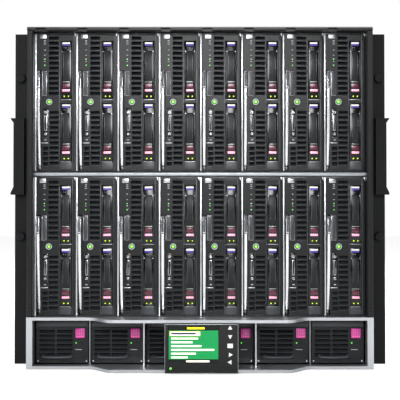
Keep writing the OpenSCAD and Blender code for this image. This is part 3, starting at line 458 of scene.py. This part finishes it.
def blade_front_details():
    """Lamps, port, plate and the small marks on the left of the face."""
    made = Shape()
    made.block((6.6, -0.5, 173.5), (15.0, 0.4, 178.9), GUARD_STEEL, 0.4)
    for z, wide in ((171.0, 1.4), (169.0, 1.4), (166.4, 1.4), (158.6, 1.0), (151.7, 1.0), (143.4, 1.0)):
        made.block((13 - wide, -0.15, z - 0.35), (13 + wide, 0.3, z + 0.35), PRINT_GREY, 0.1)
    for z in (146.5, 138.5):
        made.disc((13.0, z), "y", 0.8, -0.3, 0.5, LAMP_GREEN, 0.15, 16)
    made.block((9.2, -0.4, 98.7), (15.6, 0.4, 130.6), HEADER_GREY, 0.4)
    made.block((9.9, -0.7, 100.0), (10.5, 0.4, 129.3), GREY_LACQUER_AND_HIGHLIGHT, 0.15)
    made.block((CONNECTOR[0] + 0.3, 3.2, CONNECTOR[2] + 0.3), (CONNECTOR[1] - 0.3, 6.8, CONNECTOR[3] - 0.3),
               GLOSS_BLACK, 0.3)
    made.block((12.4, 1.2, 53.0), (15.8, 4.0, 73.0), GREY_LACQUER_AND_HIGHLIGHT, 0.5)
    made.block((13.0, 0.9, 54.0), (15.2, 1.4, 72.0), GLOSS_BLACK, 0.2)
    for z in (48.8, 77.0):
        made.disc((14.1, z), "y", 1.9, 0.2, 4.0, GUARD_STEEL, 0.2, 6, 0.9)
    made.block((12.7, -0.15, 40.5), (15.5, 0.3, 41.5), PRINT_GREY, 0.1)
    made.block((8.6, -0.4, 36.6), (17.5, 0.4, 37.4), RAIL_SILVER, 0.2)
    return made.mesh("blade_front_details")


def blade_power_button():
    """The round power key: white ring, green lens, yellow core."""
    made = Shape()
    made.disc((19.0, 90.6), "y", 5.0, -0.9, 0.6, PANEL_BLACK, 0.3, 40, 4.2)
    made.disc((19.0, 90.6), "y", 4.1, -1.3, 0.6, KEY_WHITE, 0.3, 40, 3.0)
    made.disc((19.0, 90.6), "y", 2.9, -1.1, 0.6, POWER_GREEN, 0.4, 40)
    made.disc((19.0, 90.6), "y", 1.1, -1.3, -0.9, POWER_CORE, 0.1, 20)
    return made.mesh("blade_power_button")


def blade_guard():
    """The bent steel edge that stands along the left of each face."""
    made = Shape()
    made.block((0.5, -1.4, 0.4), (2.3, BEZEL_DEPTH, BLADE_H - 0.4), GUARD_STEEL, 0.4)
    made.block((0.5, -1.4, 0.6), (1.0, -0.9, BLADE_H - 0.6), RAIL_SILVER, 0.1)
    return made.mesh("blade_guard")


def blade_sled():
    """The closed steel tray behind the face, with pressed ribs."""
    made = Shape()
    made.block((1.0, BEZEL_DEPTH + 0.2, 0.4), (53.0, BLADE_DEPTH, BLADE_H - 0.6), SHEET_STEEL, 0.8)
    for y in range(80, 480, 80):
        made.block((0.6, y, 12), (1.2, y + 8, 168), SHEET_STEEL, 0.25)
        made.block((52.8, y, 12), (53.4, y + 8, 168), SHEET_STEEL, 0.25)
    return made.mesh("blade_sled")


def drive_carrier():
    """One hot-plug drive carrier: label, grip, release and two activity lamps, with painted highlight lines down its
    sides and a painted reflection on the release's lower lip.
    """
    made = Shape()
    made.block((0, 0.6, 0), (DRIVE_WIDTH, BEZEL_DEPTH - 0.3, DRIVE_HEIGHT), GLOSS_BLACK, 0.7)
    # Painted highlight: grey lines down both sides of the carrier.
    for x in (0.2, DRIVE_WIDTH - 0.7):
        made.block((x, -0.4, 3.5), (x + 0.5, 1.2, 66.0), GREY_LACQUER_AND_HIGHLIGHT, 0.2)
    made.prism([(1.0, 22.5), (-0.4, 26.0), (-1.0, 43.0), (-0.4, 60.5), (1.0, 64.0)], "x", 2.3, 11.4, PANEL_BLACK, 0.5)
    for x in (3.1, 10.1):
        made.block((x, -1.2, 30.0), (x + 0.5, -0.2, 57.0), GREY_LACQUER_AND_HIGHLIGHT, 0.15)
    made.block((2.0, -0.4, 21.6), (11.7, 1.0, 22.4), RAIL_SILVER, 0.2)
    made.block((1.6, -0.3, 13.7), (12.1, 1.4, 20.4), RELEASE_WINE, 0.5)
    # Painted reflection: the pale glowing lip under the release.
    made.block((1.4, -0.9, 8.9), (12.3, 1.4, 12.9), RELEASE_LIP_REFLECTION, 0.6)
    for x in (4.5, 10.0):
        made.disc((x, 3.2), "y", 0.9, -0.1, 0.9, LAMP_YELLOW, 0.15, 16)
    made.block((1.8, -0.1, 71.6), (11.9, 0.9, 73.9), LABEL_WHITE, 0.15)
    made.block((1.8, -0.1, 69.3), (11.9, 0.9, 71.5), LABEL_PURPLE, 0.15)
    for x in (4.0, 6.4):
        made.disc((x, 66.7), "y", 0.5, 0.3, 0.9, PRINT_GREY, 0.1, 12)
    for x in (1.3, 12.4):
        made.disc((x, 61.8), "y", 0.7, -0.5, 0.9, GUARD_STEEL, 0.15, 14)
    return made.mesh("drive_carrier")


def ejector_lever():
    """The long release arm, standing forward at its grip, with a toe that hooks the shelf."""
    made = Shape()
    steps = [k / 16 for k in range(17)]
    front = [(5 - 12 * math.sin(math.radians(90 * t)), 10 + 120 * t) for t in steps]
    back = [(y + 6 + 3.2 * (1 - t), z) for t, (y, z) in zip(steps, front)][::-1]
    made.prism(front + back, "x", 3.9, 7.3, LEVER_STEEL, 0.4)
    made.prism(arc((10, 10), 5, 0, 360, 28)[:-1], "x", 3.9, 7.3, LEVER_STEEL, 0.4)
    made.prism([(6.5, 10), (13.5, 10), (12.0, 2.6), (8.0, 2.6)], "x", 4.0, 7.2, LEVER_STEEL, 0.4)
    made.disc((10, 10), "x", 1.8, 3.7, 7.5, GREY_LACQUER_AND_HIGHLIGHT, 0.2, 20)
    made.prism([(-9.2, 109), (-9.4, 128), (-8.4, 130), (-5.0, 130), (-4.0, 107), (-8.0, 107)], "x", 3.7, 7.5,
               GRIP_GREY, 0.5)
    return made.mesh("ejector_lever")


BLADE_PIECES = [
    ("bezel", blade_bezel(), "blade_black"), ("front_details", blade_front_details(), "blade_black"),
    ("power_button", blade_power_button(), "key_white"), ("guard", blade_guard(), "sheet_steel"),
    ("sled", blade_sled(), "sheet_steel"),
]
CARRIER = drive_carrier()
LEVER = ejector_lever()
for number in range(1, 17):
    body = f"blade_{number:02d}"
    start = corner(body, -0.4, 1.5, 0)
    for part, mesh, slot in BLADE_PIECES:
        place(f"{body}_{part}", mesh, start, body, (body,), slot)
    for k, z in enumerate(DRIVE_Z):
        place(f"{body}_drive_carrier_{k + 1}", CARRIER, start + Vector((DRIVE_X, 0, z)) * MM, body, (body,),
              "blade_black")
    arm = f"lever_{number:02d}"
    place(f"{arm}_arm", LEVER, start, arm, (arm,), "lever_silver")

# ---------------------------------------------------------------- power supplies

PSU_W, PSU_H, PSU_DEPTH = 69.27, 56.7, 600
GRILLE = [(x, x + 20.0, 9.5 + 6.0 * k, 13.3 + 6.0 * k) for x in (5.0, 28.0) for k in range(6)]
LATCH_POCKET = (51.4, 65.2, 32.3, 46.1)


def psu_front():
    """The supply's moulded face, with its grille, smooth header and handle."""
    made = Shape()
    made.pierced((0.5, 0, 0.5), (PSU_W - 0.5, 8, 47.0), GRILLE + [LATCH_POCKET], PANEL_BLACK, 0.5)
    # Painted shade: a solid black block behind the grille stands for the dark inside of the supply.
    made.block((0.6, 8.1, 0.6), (PSU_W - 0.6, 14, 47.0), BEZEL_BLACK, 0.4)
    made.block((0.5, -0.8, 47.2), (PSU_W - 0.5, 14, 55.4), HEADER_GREY, 0.9)
    # The grille slats are drawn in the lighter grey: painted highlight.
    for x0, x1, z0, z1 in GRILLE:
        made.prism([(0.8, z0 + 0.2), (1.8, z0 + 0.2), (7.0, z1 - 0.8), (7.0, z1 - 0.1)], "x", x0 + 0.1, x1 - 0.1,
                   LOUVRE_HIGHLIGHT_GREY, 0)
    grip = [(10.5, 1, 11), (10.5, -2.8, 9.4), (13.0, -4.2, 8.6), (28.7, -4.6, 8.2), (44.5, -4.2, 8.6),
            (47.0, -2.8, 9.4), (47.0, 1, 11)]
    made.wire(grip, 1.5, GRIP_GREY, 14)
    made.disc((52.8, 26.7), "y", 1.1, -0.3, 0.6, LAMP_GREEN, 0.2, 18)
    made.disc((59.5, 26.7), "y", 1.0, -0.2, 0.6, GLOSS_BLACK, 0.2, 18)
    made.block((51.8, -0.15, 17.6), (60.5, 0.3, 18.5), PRINT_GREY, 0.1)
    for x in (3.2, PSU_W - 3.2):
        made.disc((x, 3.4), "y", 1.2, -0.5, 0.6, GUARD_STEEL, 0.2, 18)
    return made.mesh("psu_front")


def psu_can():
    """The plated steel case behind the face."""
    made = Shape()
    made.block((0.8, 14.1, 0.8), (PSU_W - 0.8, PSU_DEPTH, PSU_H - 1.4), SHEET_STEEL, 0.6)
    return made.mesh("psu_can")


def psu_latch():
    """The touch-point latch: a clear magenta paddle with a pale lower edge and bars, whose glow and pale colour are
    painted highlight.
    """
    made = Shape()
    made.block((51.9, -1.2, 32.9), (64.6, 6.4, 45.5), LATCH_PINK, 0.9)
    # Painted highlight: pale glowing strips on the lower edge and across the paddle.
    made.block((53.0, -1.5, 34.0), (63.5, -1.0, 36.4), LATCH_HIGHLIGHT_PINK, 0.2)
    for z in (38.2, 40.4, 42.6):
        made.block((54.2, -1.5, z), (62.3, -1.0, z + 0.8), LATCH_HIGHLIGHT_PINK, 0.2)
    return made.mesh("psu_latch")


PSU_FRONT, PSU_CAN, PSU_LATCH = psu_front(), psu_can(), psu_latch()
for number in range(1, 7):
    body, latch = f"psu_{number}", f"psu_latch_{number}"
    start = corner(body, 0, 5.2, 0)
    place(f"{body}_front", PSU_FRONT, start, body, (body,), "module_dark")
    place(f"{body}_can", PSU_CAN, start, body, (body,), "sheet_steel")
    place(f"{latch}_paddle", PSU_LATCH, start, latch, (latch,), "latch_magenta")

# ----------------------------------------------------------------------- display


def screen():
    """The lit screen, its words as plain bars."""
    made = Shape()
    made.block((-39.6, -55.45, 13.0), (23.8, -55.0, 60.8), GLOSS_BLACK, 0.1)
    made.block((-38.8, -55.6, 13.8), (23.0, -55.3, 60.0), SCREEN_GREEN, 0)
    made.block((-38.8, -55.7, 54.4), (23.0, -55.6, 60.0), SCREEN_BLACK, 0)
    made.block((-16.0, -55.8, 55.9), (6.0, -55.7, 58.5), SCREEN_YELLOW, 0)
    made.block((-37.6, -55.7, 47.6), (0.5, -55.6, 53.4), SCREEN_YELLOW, 0)
    made.block((-37.0, -55.8, 48.2), (-0.1, -55.7, 52.8), SCREEN_WHITE, 0)
    made.block((-35.8, -55.9, 49.4), (-5.0, -55.8, 51.6), SCREEN_BLACK, 0)
    for k, reach in enumerate((-2.0, -9.0, 2.0, 18.0, -5.0, -15.0)):
        z = 43.3 - 4.7 * k
        made.block((-35.8, -55.7, z), (reach, -55.6, z + 2.3), SCREEN_PALE, 0)
    made.block((-38.8, -55.7, 13.8), (23.0, -55.6, 18.6), SCREEN_BLACK, 0)
    made.block((-17.0, -55.8, 15.0), (12.0, -55.7, 17.3), SCREEN_PALE, 0)
    return made.mesh("screen")


def display_trim():
    """The thin silver line around the panel, and its lamp."""
    made = Shape()
    for near, far in (((-44.0, -55.6, 0.7), (48.0, -54.6, 1.3)), ((-44.0, -55.6, 61.5), (48.0, -54.6, 62.1)),
                      ((-44.0, -55.6, 1.3), (-43.4, -54.6, 61.5)), ((47.4, -55.6, 1.3), (48.0, -54.6, 61.5))):
        made.block(near, far, TRIM_SILVER, 0.15)
    made.disc((-36.5, 7.0), "y", 1.5, -55.7, -55.0, LAMP_GREEN, 0.2, 20)
    return made.mesh("display_trim")


place("display_screen", screen(), (0, 0, 0), "display_panel", (), "panel_black")
place("display_trim", display_trim(), (0, 0, 0), "display_panel", (), "bezel_silver")

# ------------------------------------------------- the enclosure's own nodes


def finish_node(name, finish):
    """Gives a node that is shown as built its own finish."""
    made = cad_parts[name]
    made.data.materials.clear()
    made.data.materials.append(finish)


ENCLOSURE_FINISHES = {
    "outer_casing": CASING_BLACK, "front_frame": BEZEL_BLACK, "lower_bezel": RAIL_SILVER,
    "rack_ears": EAR_BLACK, "bay_shelves": SHEET_STEEL, "midplane": BOARD_GREEN,
    "fan_modules": PANEL_BLACK, "interconnect_modules": SHEET_STEEL, "power_inlets": PANEL_BLACK,
    "display_carriage": PANEL_BLACK, "display_panel": GLOSS_BLACK,
}
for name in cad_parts:
    if name in ENCLOSURE_FINISHES:
        finish_node(name, ENCLOSURE_FINISHES[name])
    elif name.startswith("blade"):
        finish_node(name, BEZEL_BLACK)
    elif name.startswith("lever"):
        finish_node(name, LEVER_STEEL)
    elif name.startswith("psu_latch"):
        finish_node(name, LATCH_PINK)
    elif name.startswith("psu"):
        finish_node(name, PANEL_BLACK)
    else:
        finish_node(name, KEY_WHITE)

# --------------------------------------------------------- floor, light, camera

FLOOR_REACH = 8.0
FLOOR_GAP = 0.0005  # just below the enclosure, so that the two never share a plane
floor_mesh = bpy.data.meshes.new("floor")
floor_mesh.from_pydata([(-FLOOR_REACH, -FLOOR_REACH, 0), (FLOOR_REACH, -FLOOR_REACH, 0),
                        (FLOOR_REACH, FLOOR_REACH, 0), (-FLOOR_REACH, FLOOR_REACH, 0)], [], [(0, 1, 2, 3)])
floor = bpy.data.objects.new("floor", floor_mesh)
floor.location.z = -FLOOR_GAP
bpy.context.scene.collection.objects.link(floor)


FLOOR_WHITENING = 0.55  # how far the floor is lifted to white for the camera alone


def floor_paper():
    """Matt white paper: white to the eye, and it keeps the shadow under the enclosure."""
    made, tree, shader = surface("floor_paper", {"Base Color": linear("#f4f4f4"), "Roughness": 0.9,
                                                 "Specular IOR Level": 0.1, "Emission Color": linear("#ffffff")})
    ray = node(tree, "ShaderNodeLightPath")
    seen = node(tree, "ShaderNodeMath", {0: ray.outputs["Is Camera Ray"], 1: FLOOR_WHITENING}, operation="MULTIPLY")
    tree.links.new(seen.outputs["Value"], shader.inputs["Emission Strength"])
    return made


floor_mesh.materials.append(floor_paper())


WORLD_LIGHT = 0.42  # strength of the world as soft light on the object
WORLD_BEHIND_CAMERA = 0.10  # what gloss shows of the room behind the camera


def studio_world():
    """White to the eye and in what glass shows; softer and dimmer as light, darker behind the camera."""
    world = bpy.data.worlds.new("studio")
    world.use_nodes = True
    tree = world.node_tree
    tree.nodes.clear()
    ray = node(tree, "ShaderNodeLightPath")
    way = node(tree, "ShaderNodeTexCoord")
    parts = node(tree, "ShaderNodeSeparateXYZ", {"Vector": way.outputs["Generated"]})
    behind = node(tree, "ShaderNodeMapRange", {"Value": parts.outputs["Y"], "From Min": -0.6, "From Max": 0.4,
                                               "To Min": WORLD_BEHIND_CAMERA, "To Max": 1.0})
    mirrored = node(tree, "ShaderNodeMix", {"Factor": ray.outputs["Is Glossy Ray"], "A": WORLD_LIGHT,
                                            "B": behind.outputs["Result"]}, data_type="FLOAT")
    through = node(tree, "ShaderNodeMix", {"Factor": ray.outputs["Is Transmission Ray"],
                                           "A": mirrored.outputs["Result"], "B": 1.0}, data_type="FLOAT")
    seen = node(tree, "ShaderNodeMix", {"Factor": ray.outputs["Is Camera Ray"], "A": through.outputs["Result"],
                                        "B": 1.0}, data_type="FLOAT")
    light = node(tree, "ShaderNodeBackground", {"Color": linear("#ffffff"), "Strength": seen.outputs["Result"]})
    node(tree, "ShaderNodeOutputWorld", {"Surface": light.outputs["Background"]})
    return world


def soft_light(name, spot, aim, size, watts):
    """A soft square lamp at a spot, facing its aim."""
    lamp = bpy.data.lights.new(name, "AREA")
    lamp.size = size
    lamp.energy = watts
    stand = bpy.data.objects.new(name, lamp)
    stand.location = spot
    stand.rotation_euler = (Vector(aim) - Vector(spot)).to_track_quat("-Z", "Y").to_euler()
    bpy.context.scene.collection.objects.link(stand)


scene = bpy.context.scene
scene.world = studio_world()
scene.view_settings.view_transform = "Standard"
HALF_HEIGHT = ((CAD_BOX[0] + CAD_BOX[1]) / 2).z
# Name, place, depth aimed at, size in metres and power in watts.
LAMPS = [
    ("front_softbox", (0.0, -1.7, 0.75), 0.0, 0.5, 14),
    ("left_softbox", (-1.6, -1.4, 1.4), 0.0, 1.0, 22),
    ("top_softbox", (0.2, 0.4, 2.2), 0.3, 1.4, 30),
    ("rear_softbox", (0.8, 2.4, 1.3), 0.6, 1.2, 30),
]
for name, spot, depth, size, watts in LAMPS:
    soft_light(name, spot, (0, depth, HALF_HEIGHT), size, watts)

# The camera stands square in front, a little below the middle, and looks up by a degree.
CAMERA_SPOT = (0.0017, -1.2552, 0.1973)
CAMERA_PITCH = 90.946
CAMERA_YAW = 0.073
CAMERA_LENS = 86.44
eye = bpy.data.cameras.new("camera")
eye.lens = CAMERA_LENS
eye.sensor_width = 36.0
camera = bpy.data.objects.new("camera", eye)
camera.location = CAMERA_SPOT
camera.rotation_euler = (math.radians(CAMERA_PITCH), 0, math.radians(CAMERA_YAW))
scene.collection.objects.link(camera)
scene.camera = camera
